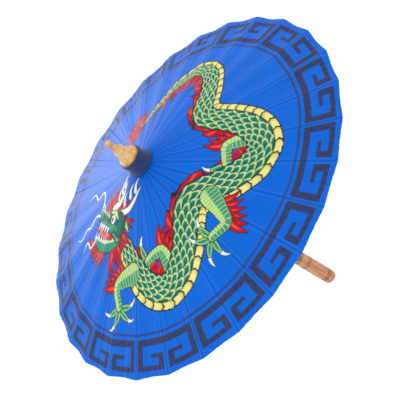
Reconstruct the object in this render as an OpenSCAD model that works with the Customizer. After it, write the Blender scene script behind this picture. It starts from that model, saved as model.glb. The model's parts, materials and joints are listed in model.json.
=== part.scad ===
// Paper parasol with a folding frame of split-bamboo ribs.
// Z runs up the pole, and the origin is the middle of the grip.

/* [Canopy] */
// Radius of the open canopy, to a rib's tip
canopy_r = 415; // [300:5:500]
// Fall of the open canopy from level, in degrees
open_angle = 18; // [12:1:26]
// Thickness of the painted paper
paper_t = 0.6; // [0.4:0.1:1.2]
// Bare length left between a rib's tip and the canopy's edge
rib_setback = 3; // [2:0.5:8]

/* [Ribs] */
// Number of ribs, which is an even number
rib_count = 28; // [24:2:28]
// Width of a rib along its outer part
rib_w = 4; // [3:0.2:4.6]
// Width of a rib's blade where it is hinged in the head
blade_w = 2.4; // [1.8:0.1:2.6]
// Depth of a rib at the head
rib_depth_root = 5; // [4:0.2:6]
// Depth of a rib at its tip
rib_depth_tip = 2.6; // [2:0.2:3.6]

/* [Stretchers] */
// Distance from a rib's hinge to its stretcher's pin
stretcher_reach = 190; // [150:5:210]
// Width of a stretcher
stretcher_w = 2; // [1.6:0.1:2.2]
// Depth of a stretcher
stretcher_depth = 3.6; // [3:0.2:5]
// Drop from the rib hinges to the runner's hinges on the open frame
runner_drop = 119.5; // [105:0.5:135]

/* [Pole and head] */
// Radius of the pole
pole_r = 6.5; // [5:0.25:8]
// Height of the rib hinges above the middle of the grip
hinge_z = 551.5; // [530:0.5:600]
// Radius of the ring of rib hinges
head_hinge_r = 20.5; // [20.5:0.5:23]
// Radius of the wooden head
head_r = 24; // [24:0.5:28]
// Height of the head above the rib hinges
head_top = 35; // [28:1:45]
// Length of the runner
runner_h = 46; // [36:1:60]
// Radius of the runner's hinge ring
runner_hinge_r = 18; // [18:0.5:20]

/* [Trim] */
// Height of the turned finial
finial_h = 63; // [50:1:80]
// Radius of the finial's base
finial_r = 23; // [20:0.5:25]
// Radius of the cloth cap at the canopy
cap_r = 29; // [29:0.5:34]

/* [Handle] */
// Length of the handle
handle_h = 120; // [110:1:160]
// Radius of the handle
handle_r = 16; // [13:0.5:20]
// Number of grooves in each of the handle's two groups
groove_count = 3; // [2:1:4]

/* [Hidden] */
$fn = 64;
fit_gap = 0.1;         // round a piece that is glued into another
soft_gap = 0.3;        // between the paper and what it lies on
slot_gap = 0.25;       // each side of a blade in its slot
slide_gap = 0.4;       // between the runner's bore and the pole
wire_r = 0.6;          // binding wire through the hinges
wire_gap = 0.1;        // round the wire where wood holds it
eye_hole_r = 0.95;     // wire hole in a rib or stretcher
eye_r = 3.4;           // rounded end of a rib's blade
pin_r = 0.8;           // pin through a rib and its stretcher
pin_gap = 0.05;        // round the pin in the rib
pin_hole_gap = 0.15;   // round the pin in the stretcher
rib_top = 2.2;         // from a hinge's line to the rib's upper face
lug_drop = 7;          // from a rib's hinge line down to its stretcher's pin
lug_r = 2.8;           // rounded end of the lug
lug_cheek = 1.2;       // thickness of each cheek of the lug
lug_len = 16;          // length of the lug where it joins the rib
lug_bite = 1.5;        // how far the lug runs up into the rib
blade_len = 34;        // length of the narrow blade at the head
blade_join = 4;        // length over which blade and rib are one
slot_over = 0.6;       // how far a slot runs past what turns in it
head_foot = 13;        // height of the head below the rib hinges
head_web_r = 16.7;     // radius at the bottom of the head's slots
runner_web_r = 14.8;   // radius at the bottom of the runner's slots
runner_r = 21;         // radius of the runner's drum
runner_neck_r = 12;    // radius of the runner's tail
runner_lip = 6;        // height of the runner above its hinges
runner_slot = 9;       // depth of the runner's slots below its hinges
runner_floor = 6;      // wood left under the runner's slots
runner_bead_r = 15;    // radius of the bead at the runner's foot
runner_bead_h = 5;     // height of that bead
bead_groove_r = 1;     // groove round the bead
cap_gap = 0.2;         // between the cap and the head
cap_wall = 1;          // wall of the cloth cap at its top
cap_skirt_h = 6;       // height of the cap's upright skirt
cap_slope_h = 14;      // height at which the cap has drawn in to the head
cord_r = 1.1;          // cord tied round the cap
cord_gap = 0.05;       // between a cord and the cap
cord_inset = 6;        // from the finial down to the upper cord
catch_w = 3;           // width of the spring catch
catch_t = 1.2;         // thickness of the spring catch
catch_len = 30;        // length of the spring catch
catch_out = 3;         // how far the catch stands out of the pole
catch_in = 0.3;        // from the pole's axis to the catch's foot
catch_foot_h = 5;      // height of the upright part at the catch's foot
catch_nose_h = 3;      // height of the upright part at the catch's top
catch_clear = 0.4;     // below the runner, and round the catch
pole_seat = 100;       // depth of the pole in the handle
pole_in_finial = 12;   // depth of the pole in the finial
groove_pitch = 4;      // between grooves in a group
groove_depth = 0.9;    // depth of a groove
groove_w = 1.3;        // width of a groove
grip_half = 36;        // from the middle of the grip to a group's middle groove
end_round = 6;         // rounded edge at the handle's foot
mouth_round = 2;       // rounded edge at the handle's mouth

step = 360 / rib_count;
pair_count = rib_count / 2;
rib_len = (canopy_r - rib_setback - head_hinge_r) / cos(open_angle);
paper_in_r = head_r + 0.4;
head_z = hinge_z + head_top;
runner_z = hinge_z - runner_drop;
runner_foot_z = runner_z + runner_lip - runner_h;
slot_w = blade_w + 2 * slot_gap;
runner_slot_w = stretcher_w + 2 * slot_gap;
lug_w = stretcher_w + 2 * slot_gap + 2 * lug_cheek;
handle_top = handle_h / 2;
pole_foot = handle_top - pole_seat;
pole_top = head_z + pole_in_finial;
// Top of the spring catch, just under the open runner
catch_z = runner_foot_z - catch_clear;

// The pin of a rib's stretcher, out from the pole and up from the grip
pin_x = head_hinge_r + stretcher_reach * cos(open_angle) - lug_drop * sin(open_angle);
pin_z = hinge_z - stretcher_reach * sin(open_angle) - lug_drop * cos(open_angle);
stretcher_len = norm([pin_x - runner_hinge_r, pin_z - runner_z]);
stretcher_angle = atan2(pin_z - runner_z, pin_x - runner_hinge_r);

// Height of the paper's underside at a radius along a rib
function paper_z(r) = hinge_z - (r - head_hinge_r) * tan(open_angle)
    + (rib_top + soft_gap) / cos(open_angle);

function two_digits(n) = str(n < 10 ? "0" : "", n);

rib_names = [for (i = [1:rib_count]) str("rib_", two_digits(i))];
pair_names = [for (i = [1:pair_count]) str("stretcher_pair_", two_digits(i))];

module ring(r, tube) {
    rotate_extrude($fn = 96) translate([r, 0]) circle(r = tube, $fn = 16);
}

// Square groove round a turned piece
module groove(r, z) {
    translate([0, 0, z - groove_w / 2]) difference() {
        cylinder(r = r + 1, h = groove_w);
        translate([0, 0, -1]) cylinder(r = r - groove_depth, h = groove_w + 2);
    }
}

module pole() {
    color("burlywood") difference() {
        translate([0, 0, pole_foot]) cylinder(r = pole_r, h = pole_top - pole_foot);
        // channel that the spring catch folds into
        translate([0, -(catch_w / 2 + catch_clear), catch_z - catch_len - catch_clear])
            cube([pole_r + 1, catch_w + 2 * catch_clear, catch_len + 2 * catch_clear]);
    }
}

// Springy bamboo strip: its upper end stands out of the pole, under the runner
module catch() {
    foot_z = catch_z - catch_len;
    nose_x = pole_r + catch_out;
    color("peru") rotate([90, 0, 0]) translate([0, 0, -catch_w / 2])
        linear_extrude(catch_w) polygon([
            [catch_in, foot_z],
            [catch_in + catch_t, foot_z],
            [catch_in + catch_t, foot_z + catch_foot_h],
            [nose_x, catch_z - catch_nose_h],
            [nose_x, catch_z],
            [nose_x - 2 * catch_t, catch_z],
            [nose_x - 2 * catch_t, catch_z - catch_nose_h],
            [catch_in, foot_z + catch_foot_h + catch_t]
        ]);
}

module handle() {
    color("sandybrown") difference() {
        rotate_extrude() {
            translate([0, -handle_h / 2]) square([handle_r - end_round, handle_h]);
            translate([0, end_round - handle_h / 2])
                square([handle_r, handle_h - end_round - mouth_round]);
            translate([handle_r - end_round, end_round - handle_h / 2]) intersection() {
                circle(r = end_round);
                translate([0, -end_round]) square(end_round);
            }
            translate([handle_r - mouth_round, handle_top - mouth_round]) intersection() {
                circle(r = mouth_round);
                square(mouth_round);
            }
            translate([0, handle_top - mouth_round])
                square([handle_r - mouth_round, mouth_round]);
        }
        translate([0, 0, pole_foot]) cylinder(r = pole_r + fit_gap, h = pole_seat + 1);
        for (side = [-1, 1], i = [0:groove_count - 1])
            groove(handle_r, side * grip_half + (i - (groove_count - 1) / 2) * groove_pitch);
    }
}

module head() {
    color("tan") difference() {
        translate([0, 0, hinge_z - head_foot]) cylinder(r = head_r, h = head_foot + head_top);
        translate([0, 0, hinge_z - head_foot - 1])
            cylinder(r = pole_r + fit_gap, h = head_foot + head_top + 2);
        for (i = [0:rib_count - 1]) rotate([0, 0, i * step])
            translate([head_web_r, -slot_w / 2, hinge_z - head_foot - 1])
                cube([head_r, slot_w, head_foot + 1 + eye_r + slot_over]);
        translate([0, 0, hinge_z]) ring(head_hinge_r, wire_r + wire_gap);
    }
}

module head_wire() {
    color("goldenrod") translate([0, 0, hinge_z]) ring(head_hinge_r, wire_r);
}

// Turned finial: flared base, stepped cone, neck and ball
module finial() {
    ball_r = 7.6;
    neck_r = 5;
    cone_top = finial_h - 2 * ball_r + 1.4;
    color("sandybrown") translate([0, 0, head_z]) difference() {
        union() {
            rotate_extrude() polygon([
                [0, 0], [finial_r - 1, 0], [finial_r, 1.5], [finial_r, 4.5], [finial_r - 1.5, 6],
                [finial_r - 4, 7.5], [finial_r - 7, 14], [finial_r - 10, 22], [finial_r - 11, 24],
                [finial_r - 10, 25.5], [finial_r - 10, 28], [finial_r - 12, 30],
                [neck_r + 2.5, 38], [neck_r, cone_top], [0, cone_top]
            ]);
            translate([0, 0, finial_h - ball_r]) sphere(r = ball_r);
        }
        translate([0, 0, -1]) cylinder(r = pole_r + fit_gap, h = pole_in_finial + 1);
    }
}

// Cloth cap over the head, from the paper up to the finial
module cap() {
    inner_r = head_r + cap_gap;
    top_r = inner_r + cap_wall;
    over_paper = (paper_t + soft_gap) / cos(open_angle);
    skirt_z = paper_z(cap_r) + over_paper;
    top_z = head_z - fit_gap;
    color("midnightblue") rotate_extrude() polygon([
        [inner_r, paper_z(inner_r) + over_paper], [cap_r, skirt_z],
        [cap_r, skirt_z + cap_skirt_h], [cap_r - 0.3 * (cap_r - top_r), skirt_z + 0.7 * cap_slope_h],
        [top_r + 0.3 * (cap_r - top_r), skirt_z + cap_slope_h], [top_r, skirt_z + 1.4 * cap_slope_h],
        [top_r, top_z], [inner_r, top_z]
    ]);
}

module cap_cord(z, r) {
    color("navy") translate([0, 0, z]) ring(r + cord_r + cord_gap, cord_r);
}

module cap_cord_lower() {
    cap_cord(paper_z(cap_r) + 4 * cord_r, cap_r);
}

module cap_cord_upper() {
    cap_cord(head_z - cord_inset, head_r + cap_gap + cap_wall);
}

// Closed skin of flat gores, with its ridges on the ribs
module canopy() {
    n = rib_count;
    thick = paper_t / cos(open_angle);
    corners = [for (i = [0:n - 1]) [cos(i * step), sin(i * step)]];
    function level(r, z) = [for (c = corners) [r * c.x, r * c.y, z]];
    points = concat(
        level(paper_in_r, paper_z(paper_in_r)), level(canopy_r, paper_z(canopy_r)),
        level(canopy_r, paper_z(canopy_r) + thick), level(paper_in_r, paper_z(paper_in_r) + thick));
    faces = [for (k = [0:3], i = [0:n - 1])
        [k * n + i, k * n + (i + 1) % n, (k + 1) % 4 * n + (i + 1) % n, (k + 1) % 4 * n + i]];
    color("royalblue") polyhedron(points = points, faces = faces);
}

// Rib lying along +X from its hinge, its upper face level
module straight_rib() {
    foot = rib_top - rib_depth_root;
    tip_foot = rib_top - rib_depth_tip;
    // slope of the rib's lower face
    fall = (tip_foot - foot) / rib_len;
    join_x = blade_len - blade_join;
    difference() {
        union() {
            // narrow blade and its eye
            rotate([90, 0, 0]) translate([0, 0, -blade_w / 2]) linear_extrude(blade_w) {
                circle(r = eye_r, $fn = 32);
                polygon([[0, foot], [join_x, foot + fall * join_x], [blade_len, foot + 1],
                    [blade_len, rib_top - 1], [join_x, rib_top], [0, rib_top]]);
            }
            rotate([90, 0, 0]) translate([0, 0, -rib_w / 2]) linear_extrude(rib_w)
                polygon([[join_x, foot + fall * join_x], [rib_len, tip_foot], [rib_len, rib_top],
                    [join_x, rib_top]]);
            // lug that carries the stretcher's pin
            rotate([90, 0, 0]) translate([0, 0, -lug_w / 2]) linear_extrude(lug_w) {
                translate([stretcher_reach, -lug_drop]) circle(r = lug_r, $fn = 32);
                polygon([[stretcher_reach - lug_len / 2, rib_top - 1],
                    [stretcher_reach - lug_len / 2, foot + lug_bite],
                    [stretcher_reach - 0.8 * lug_r, -lug_drop], [stretcher_reach + 0.8 * lug_r, -lug_drop],
                    [stretcher_reach + lug_len / 2, foot + lug_bite],
                    [stretcher_reach + lug_len / 2, rib_top - 1]]);
            }
        }
        rotate([90, 0, 0]) cylinder(r = eye_hole_r, h = rib_w + 2, center = true);
        translate([stretcher_reach, 0, -lug_drop]) rotate([90, 0, 0])
            cylinder(r = pin_r + pin_gap, h = lug_w + 2, center = true);
        // slot between the lug's cheeks
        translate([stretcher_reach - lug_len, -runner_slot_w / 2, -lug_drop - lug_r - 1])
            cube([2 * lug_len, runner_slot_w, lug_r + 1 + stretcher_depth / 2 + slot_over]);
    }
}

module rib(i) {
    rotate([0, 0, (i - 1) * step]) translate([head_hinge_r, 0, hinge_z])
        rotate([0, open_angle, 0]) {
            color("wheat") straight_rib();
            color("goldenrod") translate([stretcher_reach, 0, -lug_drop]) rotate([90, 0, 0])
                cylinder(r = pin_r, h = lug_w, center = true);
        }
}

module stretcher() {
    translate([runner_hinge_r, 0, runner_z]) rotate([0, -stretcher_angle, 0])
        difference() {
            rotate([90, 0, 0]) translate([0, 0, -stretcher_w / 2]) linear_extrude(stretcher_w) {
                circle(r = stretcher_depth / 2, $fn = 32);
                translate([stretcher_len, 0]) circle(r = stretcher_depth / 2, $fn = 32);
                translate([0, -stretcher_depth / 2]) square([stretcher_len, stretcher_depth]);
            }
            rotate([90, 0, 0]) cylinder(r = eye_hole_r, h = stretcher_w + 2, center = true);
            translate([stretcher_len, 0, 0]) rotate([90, 0, 0])
                cylinder(r = pin_r + pin_hole_gap, h = stretcher_w + 2, center = true);
        }
}

// Two stretchers side by side, for ribs 2 pair - 1 and 2 pair
module stretcher_pair(pair) {
    color("wheat") for (k = [0, 1]) rotate([0, 0, (2 * pair - 2 + k) * step]) stretcher();
}

module runner() {
    drum_h = runner_lip + runner_slot + runner_floor;
    color("tan") difference() {
        translate([0, 0, runner_foot_z]) rotate_extrude() difference() {
            union() {
                square([runner_neck_r, runner_h]);
                translate([0, runner_h - drum_h]) square([runner_r, drum_h]);
                square([runner_bead_r, runner_bead_h]);
            }
            translate([runner_bead_r, runner_bead_h / 2]) circle(r = bead_groove_r, $fn = 24);
        }
        translate([0, 0, runner_foot_z - 1]) cylinder(r = pole_r + slide_gap, h = runner_h + 2);
        for (i = [0:rib_count - 1]) rotate([0, 0, i * step])
            translate([runner_web_r, -runner_slot_w / 2, runner_z - runner_slot])
                cube([runner_r, runner_slot_w, runner_h]);
        translate([0, 0, runner_z]) ring(runner_hinge_r, wire_r + wire_gap);
    }
}

module runner_wire() {
    color("goldenrod") translate([0, 0, runner_z]) ring(runner_hinge_r, wire_r);
}

pole();
handle();
head();
head_wire();
finial();
cap();
cap_cord_upper();
cap_cord_lower();
canopy();
catch();
runner();
runner_wire();
for (i = [1:rib_count])
    rib(i);
for (i = [1:pair_count])
    stretcher_pair(i);
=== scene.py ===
import json
import math
import random

import bmesh
import bpy
import numpy as np
from mathutils import Matrix, Vector


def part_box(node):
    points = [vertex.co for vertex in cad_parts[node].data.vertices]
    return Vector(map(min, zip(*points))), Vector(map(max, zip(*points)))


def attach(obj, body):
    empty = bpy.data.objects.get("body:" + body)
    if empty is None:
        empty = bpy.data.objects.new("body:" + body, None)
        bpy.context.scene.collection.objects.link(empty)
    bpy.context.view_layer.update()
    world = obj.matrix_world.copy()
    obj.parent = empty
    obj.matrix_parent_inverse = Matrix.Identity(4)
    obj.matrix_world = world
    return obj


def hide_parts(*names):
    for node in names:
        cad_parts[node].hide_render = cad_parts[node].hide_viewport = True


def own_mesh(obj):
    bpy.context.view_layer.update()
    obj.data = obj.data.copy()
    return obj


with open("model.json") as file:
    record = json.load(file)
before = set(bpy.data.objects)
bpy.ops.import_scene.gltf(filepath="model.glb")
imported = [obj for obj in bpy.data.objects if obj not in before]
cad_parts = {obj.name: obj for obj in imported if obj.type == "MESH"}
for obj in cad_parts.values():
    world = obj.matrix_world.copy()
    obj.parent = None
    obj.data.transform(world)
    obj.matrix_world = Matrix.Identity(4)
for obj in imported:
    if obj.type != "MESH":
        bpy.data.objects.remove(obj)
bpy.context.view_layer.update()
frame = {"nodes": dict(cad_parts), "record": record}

# ---------------------------------------------------------------- sizes, in metres, from the frame
canopy_low, canopy_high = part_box("canopy")
handle_low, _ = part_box("handle")
hinges = {j["name"]: j for j in frame["record"]["behaviour"]["joints"]}
RIBS = sum(1 for name in frame["nodes"] if name.startswith("rib_"))
STEP = 2 * math.pi / RIBS    # angle from one rib to the next
HALF_GORE = STEP / 2
CANOPY_R = canopy_high[0]
RIM_Z = canopy_low[2]
PAPER_IN_R = 0.0244          # the paper starts just outside the wooden head
PAPER_T = 0.0005
CAD_PAPER_T = 0.0006
SLOPE = math.atan((canopy_high[2] - CAD_PAPER_T - RIM_Z) / (CANOPY_R - PAPER_IN_R))
STRETCHER_WIDTH, STRETCHER_DEPTH = 0.002, 0.0036


def rib_name(i):
    return f"rib_{i + 1:02d}"


def around(i):
    """Unit vectors out along rib i and round from it."""
    a = i * STEP
    return Vector((math.cos(a), math.sin(a), 0)), Vector((-math.sin(a), math.cos(a), 0))


def add_object(name, data):
    thing = bpy.data.objects.new(name, data)
    bpy.context.scene.collection.objects.link(thing)
    return thing


# ---------------------------------------------------------------- camera, light and floor
VIEW_AZIMUTH = math.radians(-91.4)   # side of the parasol nearest the camera
VIEW_ELEVATION = math.radians(35.9)
VIEW_ROLL = math.radians(-59.1)
VIEW_DISTANCE = 5.7 * CANOPY_R
VIEW_OFFSET = (-0.074 * CANOPY_R, 0.050 * CANOPY_R)
LENS_MM, SENSOR_MM, CLIP_END = 101.8, 36, 50

WORLD_STRENGTH = 0.97
LIGHTS = (("key", (-0.9, -1.5, 2.9), 1.2, 8),     # name, place, size and watts
          ("back", (-0.2, 2.6, 1.15), 1.4, 24))
FLOOR_HALF, FLOOR_DROP = 60.0, 2.8   # half its width, and how far it lies below the handle
FLOOR_GREY, FLOOR_GLOW = 0.8, 0.25


def look_from(azimuth, elevation, roll):
    """Camera axes: right, up and back."""
    back = Vector((math.cos(azimuth) * math.cos(elevation),
                   math.sin(azimuth) * math.cos(elevation), math.sin(elevation)))
    right = Vector((0, 0, 1)).cross(back).normalized()
    up = back.cross(right)
    c, s = math.cos(roll), math.sin(roll)
    return right * c + up * s, up * c - right * s, back


def make_camera():
    right, up, back = look_from(VIEW_AZIMUTH, VIEW_ELEVATION, VIEW_ROLL)
    centre = Vector((0, 0, RIM_Z))
    place = centre + back * VIEW_DISTANCE - right * VIEW_OFFSET[0] - up * VIEW_OFFSET[1]
    data = bpy.data.cameras.new("camera")
    data.lens = LENS_MM
    data.sensor_width = SENSOR_MM
    data.clip_end = CLIP_END
    camera = add_object("camera", data)
    turn = Matrix((right, up, back)).transposed().to_4x4()
    camera.matrix_world = Matrix.Translation(place) @ turn
    bpy.context.scene.camera = camera


def make_light(name, place, size, watts):
    """Round area light, aimed at the middle of the canopy's rim."""
    data = bpy.data.lights.new(name, "AREA")
    data.shape = "DISK"
    data.size = size
    data.energy = watts
    light = add_object(name, data)
    light.location = place
    aim = Vector((0, 0, RIM_Z)) - Vector(place)
    light.rotation_euler = aim.to_track_quat("-Z", "Y").to_euler()


def make_floor():
    """Pale, faintly glowing floor, far enough below the parasol to catch no clear shadow."""
    half, low = FLOOR_HALF, handle_low[2] - FLOOR_DROP
    mesh = bpy.data.meshes.new("floor")
    corners = [(-half, -half, low), (half, -half, low), (half, half, low), (-half, half, low)]
    mesh.from_pydata(corners, [], [(0, 1, 2, 3)])
    material = bpy.data.materials.new("floor")
    material.use_nodes = True
    shader = material.node_tree.nodes["Principled BSDF"]
    shader.inputs["Base Color"].default_value = (FLOOR_GREY, FLOOR_GREY, FLOOR_GREY, 1)
    shader.inputs["Roughness"].default_value = 1.0
    shader.inputs["Specular IOR Level"].default_value = 0.0
    shader.inputs["Emission Color"].default_value = (1, 1, 1, 1)
    shader.inputs["Emission Strength"].default_value = FLOOR_GLOW
    mesh.materials.append(material)
    add_object("floor", mesh)


def make_studio():
    world = bpy.data.worlds.new("studio")
    bpy.context.scene.world = world
    world.use_nodes = True
    background = world.node_tree.nodes["Background"]
    background.inputs["Color"].default_value = (1, 1, 1, 1)
    background.inputs["Strength"].default_value = WORLD_STRENGTH
    for light in LIGHTS:
        make_light(*light)
    bpy.context.scene.view_settings.view_transform = "Standard"
    make_floor()


make_camera()
make_studio()


# ---------------------------------------------------------------- materials
class Nodes:
    """A short way to write a node material."""

    def __init__(self, name):
        self.material = bpy.data.materials.new(name)
        self.material.use_nodes = True
        self.tree = self.material.node_tree
        self.shader = self.tree.nodes["Principled BSDF"]

    def add(self, kind, **settings):
        node = self.tree.nodes.new("ShaderNode" + kind)
        for key, value in settings.items():
            setattr(node, key, value)
        return node

    def link(self, source, target):
        self.tree.links.new(source, target)

    def place(self, scale):
        """Object coordinates, multiplied by scale along each axis."""
        coordinates, mapping = self.add("TexCoord"), self.add("Mapping")
        mapping.inputs["Scale"].default_value = scale
        self.link(coordinates.outputs["Object"], mapping.inputs["Vector"])
        return mapping.outputs["Vector"]

    def noise(self, scale, detail, distortion=0.0):
        """Noise with about scale spots to the metre along each axis."""
        node = self.add("TexNoise")
        node.inputs["Scale"].default_value = 1.0
        node.inputs["Detail"].default_value = detail
        node.inputs["Distortion"].default_value = distortion
        self.link(self.place(scale), node.inputs["Vector"])
        return node.outputs["Fac"]

    def calculate(self, operation, a, b=0.0):
        node = self.add("Math", operation=operation)
        for socket, value in zip(node.inputs, (a, b)):
            if isinstance(value, bpy.types.NodeSocket):
                self.link(value, socket)
            else:
                socket.default_value = value
        return node.outputs["Value"]

    def ramp(self, value, *stops):
        """Colour that goes through stops, each given as (value, colour)."""
        node = self.add("ValToRGB")
        while len(node.color_ramp.elements) < len(stops):
            node.color_ramp.elements.new(0.5)
        for element, (at, colour) in zip(node.color_ramp.elements, stops):
            element.position = at
            element.color = (*colour, 1)
        self.link(value, node.inputs["Fac"])
        return node.outputs["Color"]

    def mix(self, a, b, factor, blend="MIX"):
        node = self.add("MixRGB", blend_type=blend)
        for socket, value in (("Fac", factor), ("Color1", a), ("Color2", b)):
            if isinstance(value, bpy.types.NodeSocket):
                self.link(value, node.inputs[socket])
            else:
                node.inputs[socket].default_value = value if socket == "Fac" else (*value, 1)
        return node.outputs["Color"]

    def colour(self, socket):
        self.link(socket, self.shader.inputs["Base Color"])

    def roughness(self, value, low, high):
        node = self.add("MapRange")
        node.inputs["To Min"].default_value = low
        node.inputs["To Max"].default_value = high
        self.link(value, node.inputs["Value"])
        self.link(node.outputs["Result"], self.shader.inputs["Roughness"])

    def bump(self, height, strength, distance):
        node = self.add("Bump")
        node.inputs["Strength"].default_value = strength
        node.inputs["Distance"].default_value = distance
        self.link(height, node.inputs["Height"])
        self.link(node.outputs["Normal"], self.shader.inputs["Normal"])


NO_TINT = (1, 1, 1)
GROOVE_MIDDLE, GROOVE_PITCH, GROOVE_HALF = 0.036, 0.004, 0.0007
GROOVE_BROWN, GROOVE_SHARE = (0.09, 0.030, 0.012), 0.8


def groove_lines(n):
    """1 in the handle's grooves, which lie in two groups above and below the grip, and 0 elsewhere."""
    parts, coordinates = n.add("SeparateXYZ"), n.add("TexCoord")
    n.link(coordinates.outputs["Object"], parts.inputs["Vector"])
    away = n.calculate("ABSOLUTE", parts.outputs["Z"])
    offset = n.calculate("ABSOLUTE", n.calculate("SUBTRACT", away, GROOVE_MIDDLE))
    nearest = n.calculate("PINGPONG", offset, GROOVE_PITCH / 2)
    in_line = n.calculate("LESS_THAN", nearest, GROOVE_HALF)
    in_group = n.calculate("LESS_THAN", offset, 1.5 * GROOVE_PITCH)
    return n.calculate("MULTIPLY", in_line, in_group)


def wood(name, dark, middle, light, grooved=False):
    """Turned wood with its grain along Z, under a thin varnish."""
    n = Nodes(name)
    grain = n.noise((90, 90, 6), 6, 1.2)
    pores = n.noise((900, 900, 30), 3)
    base = n.ramp(grain, (0.30, dark), (0.5, middle), (0.72, light))
    specks = n.ramp(pores, (0.36, (0.72, 0.66, 0.60)), (0.52, NO_TINT))
    base = n.mix(base, specks, 0.6, "MULTIPLY")
    if grooved:
        burnt = n.calculate("MULTIPLY", groove_lines(n), GROOVE_SHARE)
        base = n.mix(base, GROOVE_BROWN, burnt)
    n.colour(base)
    n.roughness(grain, 0.36, 0.52)
    n.bump(pores, 0.25, 0.0003)
    n.shader.inputs["Coat Weight"].default_value = 0.25
    n.shader.inputs["Coat Roughness"].default_value = 0.25
    return n.material


def bamboo(name, dark, light):
    """Bare bamboo: broad soft patches under fine fibres."""
    n = Nodes(name)
    patches = n.noise((26, 26, 26), 3)
    fibres = n.noise((420, 420, 420), 5)
    base = n.ramp(patches, (0.35, dark), (0.65, light))
    lines = n.ramp(fibres, (0.35, (0.74, 0.68, 0.58)), (0.6, NO_TINT))
    n.colour(n.mix(base, lines, 0.7, "MULTIPLY"))
    n.roughness(fibres, 0.42, 0.6)
    n.bump(fibres, 0.2, 0.0002)
    return n.material


def cloth(name, dark, light):
    """Woven cloth: fine bands along Z, broken up by noise."""
    n = Nodes(name)
    weave = n.add("TexWave", wave_type="BANDS", bands_direction="Z")
    weave.inputs["Scale"].default_value = 420
    n.link(n.place((1, 1, 1)), weave.inputs["Vector"])
    cross = n.noise((900, 900, 900), 2)
    both = n.mix(weave.outputs["Color"], cross, 0.5, "MULTIPLY")
    n.colour(n.ramp(both, (0.1, dark), (0.7, light)))
    n.shader.inputs["Roughness"].default_value = 0.8
    n.shader.inputs["Sheen Weight"].default_value = 0.3
    n.bump(both, 0.5, 0.0004)
    return n.material


def metal(name, dark, light):
    """Drawn wire with slight stains."""
    n = Nodes(name)
    stains = n.noise((120, 120, 120), 4)
    n.colour(n.ramp(stains, (0.3, dark), (0.7, light)))
    n.shader.inputs["Metallic"].default_value = 0.9
    n.roughness(stains, 0.3, 0.5)
    n.bump(stains, 0.1, 0.0001)
    return n.material


def painted_paper():
    """Waxed paper: the picture in its paint layer, with fibres, soft gloss and a little sheen."""
    n = Nodes("painted_paper")
    paint = n.add("VertexColor", layer_name="paint")
    fibres = n.noise((700, 700, 700), 4)
    cloud = n.noise((16, 16, 16), 3)
    tone = n.ramp(cloud, (0.3, (0.86, 0.86, 0.86)), (0.7, NO_TINT))
    grain = n.ramp(fibres, (0.3, (0.88, 0.88, 0.88)), (0.6, NO_TINT))
    base = n.mix(paint.outputs["Color"], tone, 0.7, "MULTIPLY")
    n.colour(n.mix(base, grain, 0.6, "MULTIPLY"))
    n.roughness(cloud, 0.36, 0.5)
    n.bump(fibres, 0.15, 0.0002)
    n.shader.inputs["Sheen Weight"].default_value = 0.08
    n.shader.inputs["Sheen Roughness"].default_value = 0.3
    n.shader.inputs["Sheen Tint"].default_value = (0.85, 0.85, 1, 1)
    n.shader.inputs["Specular IOR Level"].default_value = 0.10
    return n.material


FINIAL_WOOD = wood("finial_wood", (0.55, 0.27, 0.08), (0.80, 0.47, 0.18), (0.93, 0.64, 0.32))
HANDLE_WOOD = wood("turned_wood", (0.44, 0.15, 0.05), (0.66, 0.29, 0.12), (0.80, 0.43, 0.21),
                   grooved=True)
POLE_BAMBOO = bamboo("bamboo", (0.52, 0.33, 0.14), (0.74, 0.54, 0.28))
RIB_BAMBOO = bamboo("split_bamboo", (0.60, 0.42, 0.20), (0.80, 0.62, 0.36))
CAP_CLOTH = cloth("cap_cloth", (0.002, 0.012, 0.07), (0.010, 0.045, 0.22))
WIRE = metal("binding_wire", (0.35, 0.24, 0.10), (0.70, 0.52, 0.26))
PAPER = painted_paper()

# ---------------------------------------------------------------- paint
# The picture is drawn on the flat plan of the canopy, in shares of its radius: u and v.
PICTURE_TURN = math.radians(-1.4)

BLUE = (0.000, 0.140, 0.72)
RIB_LINE = (0.000, 0.085, 0.50)
RIB_GLINT = (0.050, 0.270, 0.92)
KEY = (0.040, 0.034, 0.050)
INK = (0.008, 0.010, 0.022)
TEAL = (0.002, 0.130, 0.105)
TEAL_LIGHT = (0.020, 0.300, 0.180)
SCALE_EDGE = (0.560, 0.780, 0.330)
BELLY = (0.930, 0.830, 0.260)
BELLY_SHADE = (0.600, 0.560, 0.160)
SKIN = (0.330, 0.680, 0.250)
RED = (0.600, 0.006, 0.020)
RED_LIGHT = (0.920, 0.110, 0.060)
WHITE = (0.880, 0.950, 0.920)

EDGE_SOFT = 0.0022            # width over which a brush edge fades
TIP = 0.001                   # half width of a stroke where the brush lifts
THIN_INK, FINE_INK, INK_LINE, BOLD_INK = 0.002, 0.003, 0.004, 0.005   # widths of the ink edge
PAINT_MARGIN = 0.01           # how far past its edge a stroke is worked out
POINTS_AT_ONCE = 20000
CURVE_STEPS = 24              # steps from one point of a curve to the next
SPINE_POINTS = 460


def curve_through(points, count):
    """Smooth curve through points, as count evenly spaced points, and its length."""
    p = np.array(points, float)
    p = np.vstack([2 * p[0] - p[1], p, 2 * p[-1] - p[-2]])
    t = np.linspace(0, 1, CURVE_STEPS, endpoint=False)[:, None]
    parts = []
    for a, b, c, d in zip(p, p[1:], p[2:], p[3:]):
        parts.append(0.5 * (2 * b + (c - a) * t + (2 * a - 5 * b + 4 * c - d) * t**2
                            + (3 * b - a - 3 * c + d) * t**3))
    line = np.vstack([*parts, p[-2:-1]])
    run = np.concatenate([[0], np.cumsum(np.hypot(*np.diff(line, axis=0).T))])
    even = np.linspace(0, run[-1], count)
    return np.column_stack([np.interp(even, run, line[:, k]) for k in (0, 1)]), run[-1]


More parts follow.
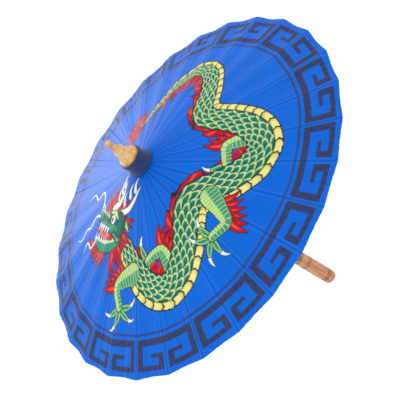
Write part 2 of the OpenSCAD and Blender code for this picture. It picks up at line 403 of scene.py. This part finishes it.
def spread(values, share):
    """Values set evenly along a stroke, read at a share of its length."""
    return np.interp(share, np.linspace(0, 1, len(values)), values)


def cover(depth):
    """How much paint there is at a depth inside an edge."""
    return depth / EDGE_SOFT + 0.5


def blended(a, b, share):
    return np.asarray(a) * (1 - share) + np.asarray(b) * share


class Picture:
    """Paint on a set of plan points, laid on in order."""

    def __init__(self, u, v):
        self.at = np.column_stack([u, v])
        self.rgb = np.tile(np.array(BLUE), (len(u), 1))

    def lay(self, index, share, colour):
        share = np.clip(share, 0, 1)[:, None]
        self.rgb[index] = blended(self.rgb[index], colour, share)

    def near(self, line, reach):
        """Plan points within reach of a line: index, place along it, offset to its left, and gap."""
        low, high = line.min(axis=0) - reach, line.max(axis=0) + reach
        index = np.nonzero(((self.at >= low) & (self.at <= high)).all(axis=1))[0]
        if not len(index):
            return index, np.zeros(0), np.zeros(0), np.zeros(0)
        best = np.empty(len(index), int)
        for start in range(0, len(index), POINTS_AT_ONCE):
            some = self.at[index[start:start + POINTS_AT_ONCE]]
            gaps = ((some[:, None, :] - line[None, :, :]) ** 2).sum(axis=2)
            best[start:start + POINTS_AT_ONCE] = gaps.argmin(axis=1)
        way = np.gradient(line, axis=0)
        way /= np.maximum(np.hypot(way[:, 0], way[:, 1]), 1e-9)[:, None]
        off = self.at[index] - line[best]
        along = (off * way[best]).sum(axis=1)
        left = way[best, 0] * off[:, 1] - way[best, 1] * off[:, 0]
        apart = np.hypot(off[:, 0], off[:, 1])
        ends = ((best == 0) & (along < 0)) | ((best == len(line) - 1) & (along > 0))
        gap = np.where(ends, apart, np.abs(left))
        pitch = np.hypot(*(line[1] - line[0]))
        keep = gap < reach
        return index[keep], (best * pitch + along)[keep], left[keep], gap[keep]

    def stroke(self, points, widths, colour, ink=0.0):
        """Brush stroke whose half width follows widths, with an ink edge round it."""
        line, length = curve_through(points, 16 * len(points))
        index, s, _, gap = self.near(line, max(widths) + ink + PAINT_MARGIN)
        half = spread(widths, s / length)
        if ink:
            self.lay(index, cover(half + ink - gap), INK)
        self.lay(index, cover(half - gap), colour)

    def disc(self, centre, radius, colour, ink=0.0):
        gap = np.hypot(*(self.at - np.array(centre)).T)
        index = np.nonzero(gap < radius + ink + PAINT_MARGIN)[0]
        if ink:
            self.lay(index, cover(radius + ink - gap[index]), INK)
        self.lay(index, cover(radius - gap[index]), colour)


def turned(root, direction, length, bend):
    """Four points of a stroke that leaves root in direction, in degrees, and curls by bend."""
    points, angle, step = [root], math.radians(direction), length / 3
    for _ in range(3):
        x, y = points[-1]
        points.append((x + step * math.cos(angle), y + step * math.sin(angle)))
        angle += math.radians(bend) / 3
    return points


# ---------------------------------------------------------------- the dragon's body
# A stock temple-style dragon, built from repeated parts. The body is a plain wave round the
# finial: three swings out and in, at even angles, in degrees.
WAVE_START, WAVE_TURN, SWINGS = -84, 238, 3
WAVE_MIDDLE, WAVE_SWING, WAVE_POINTS = 0.515, 0.125, 73
BODY_WIDTHS = [0.052, 0.074, 0.086, 0.088, 0.086, 0.082, 0.072, 0.058, 0.038, 0.010]
BODY_INK = 0.006
SCALE_PITCH, SCALE_COLUMNS = 0.033, 4
PLATE_PITCH, BELLY_FROM = 0.047, 0.56      # belly plates, and where they start across the body
FIN_INK = 0.007
# fins: start and end as shares of the body, depth, and teeth
FINS = ((0.03, 0.35, 0.150, 8), (0.29, 0.40, 0.070, 3), (0.36, 0.68, 0.140, 8),
        (0.62, 0.74, 0.060, 3), (0.69, 0.99, 0.130, 8))
# legs: share of the body, side (1 is its left) and lean (1 is towards the tail)
FAR_LEGS = ((0.20, -1, 1), (0.53, -1, 1))
NEAR_LEGS = ((0.07, 1, -1), (0.37, 1, 1))
# a leg's joints: how far out from the body's side, and how far along it
HIP, KNEE, ANKLE = (0.03, 0.03), (0.088, 0.035), (0.125, -0.045)
LEG_WIDTHS = [0.052, 0.038, 0.026, 0.022]
TOE_FAN, TOE_LENGTH, CLAW_LENGTH = (-62, -20, 22, 66), 0.085, 0.062


def body_wave():
    """The spine, from neck to tail."""
    share = np.linspace(0, 1, WAVE_POINTS)
    turn = np.radians(WAVE_START + WAVE_TURN * share)
    radius = WAVE_MIDDLE - WAVE_SWING * np.cos(2 * math.pi * SWINGS * share)
    return np.column_stack([radius * np.sin(turn), radius * np.cos(turn)])


def flame(picture, root, direction, length, bend, width):
    """One red lock: a stroke with an ink edge and a lighter streak inside."""
    points = turned(root, direction, length, bend)
    picture.stroke(points, [0.8 * width, width, 0.8 * width, 0.35 * width, TIP], RED, INK_LINE)
    picture.stroke(points[:3], [TIP, 0.28 * width, 0.20 * width, TIP], RED_LIGHT)


def fin(picture, spine, start, end, depth, teeth):
    """A red fin with flame-shaped teeth on the spine's right, between two shares of its length."""
    line, length = curve_through(spine, SPINE_POINTS)
    index, s, left, _ = picture.near(line, max(BODY_WIDTHS) + depth + 2 * PAINT_MARGIN)
    half = spread(BODY_WIDTHS, s / length)
    out = -left - half
    share = (s / length - start) / (end - start)
    keep = (out > -half) & (share > 0) & (share < 1)
    index, out, share = index[keep], out[keep], share[keep]
    rise, fall, lean = 0.72, 0.28, 9.0
    phase = np.mod(share * teeth - lean * np.maximum(out, 0), 1.0)
    tooth = np.where(phase < rise, phase / rise, (1 - phase) / fall)
    swell = np.sin(math.pi * share) ** 0.6 * (0.8 + 0.2 * np.sin(5 * share * teeth))
    edge = depth * swell * (0.42 + 0.58 * tooth ** 1.3) - out
    slant = 0.6   # a tooth's edges slant, so the gap to one is about this share of the depth inside it
    picture.lay(index, cover(edge * slant), INK)
    picture.lay(index, cover((edge - FIN_INK) * slant), RED)
    groove = (np.abs(phase - 0.86) < 0.05) & (edge > 0.02)
    picture.lay(index[groove], np.full(groove.sum(), 0.75), INK)
    streak = np.clip(1 - np.abs(phase - 0.5) / 0.14, 0, 1) * (edge > 0.014) * (out > 0.1 * depth)
    picture.lay(index, 0.8 * streak, RED_LIGHT)


def scales(s, across, half):
    """Colours of long round scales in staggered rows, each lying over the next towards the tail."""
    row = np.floor(s / SCALE_PITCH)
    rgb = np.tile(np.array(INK), (len(s), 1))
    done = np.zeros(len(s), bool)
    size = 1.03 / SCALE_COLUMNS * half
    rim_width = np.minimum(0.0062, 0.30 * size)
    for back in (2, 1, 0):
        k = row - back
        shift = 0.5 * np.mod(k, 2)
        column = np.round(across * SCALE_COLUMNS / 2 - shift) + shift
        dx = (s - k * SCALE_PITCH) / (2.05 * SCALE_PITCH)
        dy = (across - column * 2 / SCALE_COLUMNS) * half
        far = np.hypot(dx * size, dy)
        hit = (far < size) & ~done
        rim = np.clip((far - (size - rim_width)) / (0.25 * rim_width), 0, 1)[:, None]
        dark = np.clip((far - (size - 0.22 * rim_width)) / (0.15 * rim_width), 0, 1)[:, None]
        lit = np.clip(1.5 * dx - 0.35, 0, 1)[:, None]
        colour = blended(blended(blended(TEAL, TEAL_LIGHT, lit), SCALE_EDGE, rim), INK, dark)
        rgb[hit] = colour[hit]
        done |= hit
    return rgb


def belly_plates(rgb, s, across):
    """Colours with plates laid along the body's left side, each rounded on its outer edge."""
    place = np.mod(s / PLATE_PITCH + 0.8 * np.abs(across - 0.8), 1.0)
    belly = np.clip((across - BELLY_FROM) / 0.05, 0, 1)[:, None]
    joint = np.clip((0.10 - np.minimum(place, 1 - place)) / 0.05, 0, 1)[:, None]
    shade = np.clip((place - 0.55) * 2.0, 0, 1)[:, None]
    plates = blended(blended(BELLY, BELLY_SHADE, shade), INK, joint)
    seam = np.clip(1.4 - np.abs(across - BELLY_FROM) / 0.035, 0, 1)[:, None]
    return blended(blended(rgb, plates, belly), INK, seam)


def scaled_body(picture, spine):
    """The body: ink edge, rows of scales, and belly plates on its left side."""
    line, length = curve_through(spine, SPINE_POINTS)
    index, s, left, gap = picture.near(line, max(BODY_WIDTHS) + 2 * PAINT_MARGIN)
    half = spread(BODY_WIDTHS, s / length)
    picture.lay(index, cover(half + BODY_INK - gap), INK)
    inside = gap < half
    index, s, half = index[inside], s[inside], half[inside]
    across = left[inside] / half
    rgb = belly_plates(scales(s, across, half), s, across)
    picture.lay(index, np.ones(len(index)), rgb)


def foot(picture, ankle, direction):
    """Four toes with hooked white claws, fanned about a direction in degrees."""
    for k, fan in enumerate(TOE_FAN):
        bend = 34 if fan > 0 else -34
        toe = turned(ankle, direction + fan, TOE_LENGTH * (0.9 if k in (0, 3) else 1.0), bend)
        claw = turned(toe[-1], direction + fan + bend, CLAW_LENGTH, 1.7 * bend)
        picture.stroke(claw, [0.010, 0.008, 0.005, TIP], WHITE, FINE_INK)
        picture.stroke(toe, [0.018, 0.013, 0.015, 0.010], SKIN, INK_LINE)
        picture.stroke(toe[1:], [0.004, 0.008, 0.003], TEAL_LIGHT)
    picture.disc(ankle, 0.024, SKIN, FINE_INK)


def leg(picture, points, direction):
    """Leg with pale bands on one side and scales on the other, and its foot."""
    foot(picture, points[-1], direction)
    picture.stroke(points, LEG_WIDTHS, SKIN, INK_LINE)
    line, length = curve_through(points, 80)
    index, s, left, gap = picture.near(line, 0.05)
    half = spread(LEG_WIDTHS, s / length)
    across = left / half
    band = (np.mod(s / 0.016, 1.0) < 0.35) & (across > 0.15) & (gap < half)
    picture.lay(index[band], np.full(band.sum(), 0.85), BELLY)
    scaly = (across < 0.05) & (gap < half * 0.92)
    picture.lay(index[scaly], np.full(scaly.sum(), 0.9), TEAL_LIGHT)
    dots = scaly & (np.mod(s / 0.02, 1.0) < 0.22)
    picture.lay(index[dots], np.full(dots.sum(), 0.8), SCALE_EDGE)


def limb(picture, spine, share, side, lean):
    """A leg that leaves the body at a share of its length, bent at the knee, with flames behind it."""
    line, _ = curve_through(spine, SPINE_POINTS)
    k = int(share * (len(line) - 1))
    way = (line[k + 1] - line[k - 1]) / np.hypot(*(line[k + 1] - line[k - 1]))
    out = side * np.array([-way[1], way[0]])
    half = float(spread(BODY_WIDTHS, share))
    root = line[k] + 0.3 * half * out
    hip, knee, ankle = (line[k] + (half + away) * out + along * lean * way
                        for away, along in (HIP, KNEE, ANKLE))
    heading = 0.5 * out - lean * way
    back = math.degrees(math.atan2(*(0.55 * out + lean * way)[::-1]))
    turn = lean * side
    for lock in range(6):
        start = root + (knee - root) * (0.35 + 0.13 * lock) + 0.016 * lean * way
        flame(picture, tuple(start), back - 28 * turn + 12 * turn * lock, 0.115, -30 * turn, 0.022)
    leg(picture, [tuple(q) for q in (root, hip, knee, ankle)],
        math.degrees(math.atan2(heading[1], heading[0])))


def dragon(picture):
    """Tail, fins, far legs, body, near legs and head, in that order."""
    spine = body_wave()
    for k in range(7):
        flame(picture, tuple(spine[-1]), 140 + 26 * k, 0.15, 45, 0.026)
    for row in FINS:
        fin(picture, spine, *row)
    for row in FAR_LEGS:
        limb(picture, spine, *row)
    scaled_body(picture, spine)
    for row in NEAR_LEGS:
        limb(picture, spine, *row)
    head(picture)


# ---------------------------------------------------------------- the dragon's head
HEAD_PLACE = np.array([-0.048, -0.197])   # from where the head is drawn to the wave's start
# horns: root, tip and bow
HORNS = (((-0.235, 0.13), (-0.045, 0.27), 0.03),
         ((-0.215, 0.085), (-0.060, 0.15), 0.02))
TOOTH_PITCH = 0.026
WHISKERS = (
    [(-0.29, -0.07), (-0.31, -0.13), (-0.37, -0.15), (-0.40, -0.20), (-0.46, -0.22), (-0.48, -0.28)],
    [(-0.26, -0.07), (-0.20, -0.09), (-0.18, -0.15), (-0.23, -0.20), (-0.22, -0.27), (-0.27, -0.34)],
    [(-0.41, -0.03), (-0.46, -0.07), (-0.45, -0.13), (-0.51, -0.15)])


def mane(picture):
    """Locks from the brow round the back of the head to the throat, and a beard under the chin."""
    for k in range(22):
        a = math.radians(78 + 9.5 * k)
        root = (-0.315 - 0.085 * math.cos(a - 0.2), 0.115 + 0.075 * math.sin(a))
        flame(picture, root, 180 - 9.5 * (k - 1), 0.155 + 0.025 * math.sin(2.1 * k), -42, 0.028)
    for k in range(6):
        flame(picture, (-0.425, 0.10 - 0.024 * k), 192 + 13 * k, 0.115, 40, 0.018)


def horns(picture):
    """Two horns, each with side branches, and an ear."""
    for root, tip, bow in HORNS:
        middle = ((root[0] + tip[0]) / 2 - bow, (root[1] + tip[1]) / 2 + bow)
        picture.stroke([root, middle, tip], [0.017, 0.013, TIP], WHITE, INK_LINE)
        for part in (0.35, 0.6, 0.8):
            x = root[0] + part * (tip[0] - root[0])
            y = root[1] + part * (tip[1] - root[1])
            picture.stroke([(x, y), (x + 0.03, y - 0.012), (x + 0.065, y - 0.005)],
                           [0.010, 0.006, TIP], WHITE, FINE_INK)
    picture.stroke([(-0.27, 0.18), (-0.25, 0.23), (-0.27, 0.28)], [0.022, 0.016, TIP], SKIN, INK_LINE)
    picture.stroke([(-0.27, 0.19), (-0.26, 0.23)], [0.008, 0.002], RED)


def jaws(picture):
    """Lower jaw, mouth, tongue and upper jaw, then the teeth."""
    picture.stroke([(-0.33, 0.18), (-0.39, 0.12), (-0.415, 0.04), (-0.40, -0.03)],
                   [0.045, 0.034, 0.024, 0.012], TEAL_LIGHT, BOLD_INK)
    picture.stroke([(-0.34, 0.17), (-0.372, 0.11), (-0.393, 0.04), (-0.385, -0.02)],
                   [0.012, 0.010, 0.007, 0.003], SCALE_EDGE)
    picture.stroke([(-0.33, 0.12), (-0.348, 0.06), (-0.350, 0.00)], [0.030, 0.028, 0.016],
                   RED, FINE_INK)
    picture.stroke([(-0.345, 0.10), (-0.362, 0.04), (-0.345, -0.02), (-0.36, -0.07)],
                   [0.010, 0.012, 0.008, TIP], RED_LIGHT, FINE_INK)
    picture.stroke([(-0.27, 0.17), (-0.285, 0.09), (-0.285, 0.02), (-0.295, -0.04)],
                   [0.062, 0.048, 0.030, 0.024], TEAL, BOLD_INK)
    picture.stroke([(-0.30, 0.15), (-0.305, 0.09), (-0.305, 0.02), (-0.31, -0.03)],
                   [0.020, 0.016, 0.010, 0.006], TEAL_LIGHT)
    for k in range(5):
        down = TOOTH_PITCH * k
        picture.stroke([(-0.318 - 0.001 * k, 0.075 - down), (-0.350, 0.070 - down)],
                       [0.009, TIP], WHITE, THIN_INK)
        picture.stroke([(-0.388 - 0.002 * k, 0.085 - down), (-0.362, 0.082 - down)],
                       [0.007, TIP], WHITE, THIN_INK)
    picture.stroke([(-0.40, -0.04), (-0.37, -0.05)], [0.008, TIP], WHITE, THIN_INK)


def face(picture):
    """Cheek scales, nose, snout ridges, eye and brow."""
    for k in range(4):
        cheek = (-0.325 - 0.004 * k, 0.150 + 0.016 * k)
        picture.disc(cheek, 0.015, TEAL, FINE_INK)
        picture.disc(cheek, 0.007, SCALE_EDGE)
    picture.disc((-0.275, -0.055), 0.026, TEAL_LIGHT, BOLD_INK)
    picture.disc((-0.285, -0.060), 0.008, INK)
    picture.stroke([(-0.255, -0.03), (-0.235, -0.05), (-0.225, -0.08)], [0.008, 0.008, 0.002],
                   SCALE_EDGE, FINE_INK)
    for k in range(4):
        down = 0.022 * k
        picture.stroke([(-0.262, 0.055 - down), (-0.250, 0.045 - down)], [0.006, 0.003], SCALE_EDGE)
    picture.disc((-0.262, 0.105), 0.023, WHITE, BOLD_INK)
    picture.disc((-0.265, 0.098), 0.010, INK)
    picture.stroke([(-0.245, 0.155), (-0.228, 0.115), (-0.238, 0.065)], [0.004, 0.013, 0.003],
                   SCALE_EDGE, INK_LINE)


def head(picture):
    """Head in profile, jaws open, with mane, horns and long thin whiskers."""
    picture.at = picture.at - HEAD_PLACE
    mane(picture)
    horns(picture)
    jaws(picture)
    face(picture)
    for points in WHISKERS:
        picture.stroke(points, [0.0055, 0.005, 0.0045, TIP], WHITE)
    picture.at = picture.at + HEAD_PLACE


# ---------------------------------------------------------------- border and rib lines
# bars of the Greek key: from and to in gores off the mirror line, then in shares of the radius
KEY_BARS = ((0.06, 0.23, 0.824, 0.968), (0.06, 1.05, 0.824, 0.856), (0.06, 0.92, 0.944, 0.968),
            (0.75, 0.92, 0.893, 0.968), (0.48, 0.92, 0.893, 0.912))
KEY_SOFT_ROUND, KEY_SOFT_OUT = 0.02, 0.0025
RING_IN, RING_OUT, RING_PAINT = 0.796, 0.808, 0.8


def between(value, low, high, soft):
    """1 between low and high and 0 outside, with soft edges."""
    return np.clip(np.minimum(value - low, high - value) / soft + 0.5, 0, 1)


def key_border(picture, radius, angle):
    """Greek-key border: one squared double spiral over every two gores, and a thin ring inside it."""
    gores = np.mod(angle / STEP, 2.0)
    mirrored = np.minimum(gores, 2 - gores)
    wobble = 0.003 * np.sin(3 * angle + 1.0) + 0.002 * np.sin(11 * angle)
    rho = radius + wobble
    paint = RING_PAINT * between(rho, RING_IN, RING_OUT, KEY_SOFT_OUT)
    for x0, x1, r0, r1 in KEY_BARS:
        bar = between(mirrored, x0, x1, KEY_SOFT_ROUND) * between(rho, r0, r1, KEY_SOFT_OUT)
        paint = np.maximum(paint, bar)
    brush = 0.86 + 0.08 * np.sin(160 * angle) * np.sin(90 * rho)
    picture.lay(np.arange(len(rho)), paint * brush, KEY)


def rib_lines(picture, rho, gap):
    """Darker line where the paper is glued to a rib, with a lighter edge beside it; gap in metres."""
    everywhere = np.arange(len(gap))
    picture.lay(everywhere, 0.55 * np.clip((0.0030 - gap) / 0.0012, 0, 1), RIB_LINE)
    glint = np.clip(1 - np.abs(gap - 0.0046) / 0.0014, 0, 1) * np.clip(rho * 4 - 0.3, 0, 1)
    picture.lay(everywhere, 0.35 * glint, RIB_GLINT)


# ---------------------------------------------------------------- the paper canopy
ROWS, COLUMNS = 240, 44
SAG = 0.0022                 # how far the rim hangs between two ribs
SCALLOP = 0.0025             # how far it is cut back there
SCALLOP_FROM = 0.96          # share of the gore's length where the cut starts to show
CREASES, CREASE_HEIGHT = 14, 0.00009
UNDERSIDE_PAINTED_SHOW_THROUGH = 0.55       # share of the picture painted on the underside: painted light shining through the paper


def wrinkles(angle, radius):
    """Small creases that run out from the head, in metres."""
    draw = random.Random(28)
    height = np.zeros_like(angle)
    for _ in range(CREASES):
        turns, sweep, phase = draw.randint(60, 260), draw.uniform(-6, 6), draw.uniform(0, 6.3)
        height += np.sin(turns * angle + sweep * radius / CANOPY_R + phase)
    return CREASE_HEIGHT * height * (0.3 + 0.7 * radius / CANOPY_R)


def gore_points(i):
    """The paper over rib i, half a gore each side: plan radii, angles and heights."""
    out, across = np.meshgrid(np.linspace(0, 1, ROWS), np.linspace(-1, 1, COLUMNS + 1), indexing="ij")
    between_ribs = np.sin(np.abs(across) * math.pi / 2) ** 2
    along = PAPER_IN_R + (CANOPY_R - PAPER_IN_R) * out
    cut = np.clip((out - SCALLOP_FROM) / (1 - SCALLOP_FROM), 0, 1)
    along = along - SCALLOP * between_ribs * cut
    turn = across * HALF_GORE
    radius = along * math.cos(HALF_GORE) / np.cos(HALF_GORE - np.abs(turn))
    angle = i * STEP + turn
    hang = SAG * (along / CANOPY_R) * between_ribs
    free = np.clip(np.abs(across) * 5 - 0.4, 0, 1)
    z = RIM_Z + (CANOPY_R - along) * math.tan(SLOPE) - hang + wrinkles(angle, radius) * free
    return radius, angle, z


def along_ridge(radius, angle, i):
    """Distance out along the rib of the chord that each point lies on."""
    turn = np.abs(angle - i * STEP)
    return radius * np.cos(HALF_GORE - turn) / math.cos(HALF_GORE)


def panel_mesh(name, radius, angle, z):
    """Closed thin panel: the grid of points twice over, joined round its edge."""
    rows, columns = radius.shape
    x, y = radius * np.cos(angle), radius * np.sin(angle)
    top = np.stack([x, y, z + PAPER_T], axis=-1).reshape(-1, 3)
    under = np.stack([x, y, z], axis=-1).reshape(-1, 3)
    count = rows * columns
    grid = np.arange(count).reshape(rows, columns)
    a, b, c, d = grid[:-1, :-1], grid[1:, :-1], grid[1:, 1:], grid[:-1, 1:]
    rim = np.concatenate([grid[0, :], grid[1:, -1], grid[-1, -2::-1], grid[-2:0:-1, 0]])
    after = np.roll(rim, -1)
    faces = np.vstack([np.stack([a, b, c, d], axis=-1).reshape(-1, 4),
                       np.stack([d, c, b, a], axis=-1).reshape(-1, 4) + count,
                       np.stack([rim, after, after + count, rim + count], axis=-1)])
    mesh = bpy.data.meshes.new(name)
    mesh.from_pydata(np.vstack([top, under]).tolist(), [], faces.tolist())
    mesh.polygons.foreach_set("use_smooth", [True] * len(mesh.polygons))
    return mesh


def paint_panel(mesh, radius, angle, i):
    """Lay the picture on the panel's top, and a fainter copy on its underside: painted light shining
    through the paper.
    """
    plan = PICTURE_TURN - angle.ravel()
    rho = radius.ravel() / CANOPY_R
    picture = Picture(rho * np.cos(plan), rho * np.sin(plan))
    rib_lines(picture, rho, (radius * np.abs(np.sin(angle - i * STEP))).ravel())
    dragon(picture)
    ridge = (along_ridge(radius, angle, i) / CANOPY_R).ravel()
    key_border(picture, ridge, angle.ravel())
    count = len(rho)
    rgba = np.ones((2 * count, 4))
    rgba[:count, :3] = picture.rgb
    # painted light: a faint copy of the picture on the underside's blue, as if lit through the paper
    rgba[count:, :3] = blended(BLUE, picture.rgb, UNDERSIDE_PAINTED_SHOW_THROUGH)
    layer = mesh.color_attributes.new("paint", "FLOAT_COLOR", "POINT")
    layer.data.foreach_set("color", rgba.ravel())


def make_canopy():
    """One paper panel over each rib. The panels meet half-way between the ribs."""
    for i in range(RIBS):
        radius, angle, z = gore_points(i)
        mesh = panel_mesh(f"paper_{i + 1:02d}", radius, angle, z)
        paint_panel(mesh, radius, angle, i)
        mesh.materials.append(PAPER)
        piece = add_object(mesh.name, mesh)
        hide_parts("canopy")
        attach(piece, rib_name(i))
        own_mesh(piece)


make_canopy()


# ---------------------------------------------------------------- stretchers
END_POINTS = 9               # points round each end of a bar
EASED_SHARE = 0.14           # of a bar's width that its edges are eased by


def split_bar(name, start, end, side, width, depth):
    """A split-bamboo bar with round ends and eased edges, from start to end."""
    along = (end - start).normalized()
    face = along.cross(side)
    length = (end - start).length
    outline = []
    for turn, centre in ((-90, length), (90, 0)):
        for k in range(END_POINTS):
            a = math.radians(turn + 180 / (END_POINTS - 1) * k)
            outline.append((centre + depth / 2 * math.cos(a), depth / 2 * math.sin(a)))
    bm = bmesh.new()
    rings = []
    for offset in (-width / 2, width / 2):
        rings.append([bm.verts.new(start + along * x + face * y + side * offset) for x, y in outline])
    bm.faces.new(rings[0][::-1])
    bm.faces.new(rings[1])
    for k in range(len(outline)):
        m = (k + 1) % len(outline)
        bm.faces.new((rings[0][k], rings[0][m], rings[1][m], rings[1][k]))
    bmesh.ops.recalc_face_normals(bm, faces=bm.faces)
    bmesh.ops.bevel(bm, geom=bm.edges[:], offset=width * EASED_SHARE, segments=2, affect="EDGES",
                    clamp_overlap=True)
    mesh = bpy.data.meshes.new(name)
    bm.to_mesh(mesh)
    bm.free()
    return add_object(name, mesh)


def make_stretchers():
    """Two stretchers in place of each CAD pair."""
    _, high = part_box("stretcher_pair_01")
    # the pair's hinge line is midway between two pivots, so it lies nearer the pole than they do
    hinge = Vector(hinges["stretcher_pair_01_hinge"]["pos_m"])
    inner_r = math.hypot(hinge.x, hinge.y) / math.cos(HALF_GORE)
    outer_r, outer_z = high[0] - STRETCHER_DEPTH / 2, high[2] - STRETCHER_DEPTH / 2
    for i in range(RIBS):
        out, side = around(i)
        pair = i // 2
        node = f"stretcher_pair_{pair + 1:02d}"
        start = out * inner_r + Vector((0, 0, hinge.z))
        end = out * outer_r + Vector((0, 0, outer_z))
        piece = split_bar(f"stretcher_{i + 1:02d}", start, end, side, STRETCHER_WIDTH, STRETCHER_DEPTH)
        piece.data.materials.append(RIB_BAMBOO)
        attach(piece, node)
        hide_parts(node)
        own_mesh(piece)


make_stretchers()


# ---------------------------------------------------------------- pieces kept from the CAD
LOOKS = {"pole": POLE_BAMBOO, "catch": POLE_BAMBOO, "finial": FINIAL_WOOD,
         "handle": HANDLE_WOOD, "head": HANDLE_WOOD, "runner": HANDLE_WOOD,
         "head_wire": WIRE, "runner_wire": WIRE,
         "cap": CAP_CLOTH, "cap_cord_upper": CAP_CLOTH, "cap_cord_lower": CAP_CLOTH}


def carry_over():
    """Each CAD node that still shows gets its material. Those not in LOOKS are the ribs."""
    for name, node in frame["nodes"].items():
        if name == "canopy" or name.startswith("stretcher_pair_"):
            continue
        material = LOOKS.get(name, RIB_BAMBOO)
        if not node.material_slots:
            node.data.materials.append(material)
        for slot in node.material_slots:
            slot.material = material


carry_over()
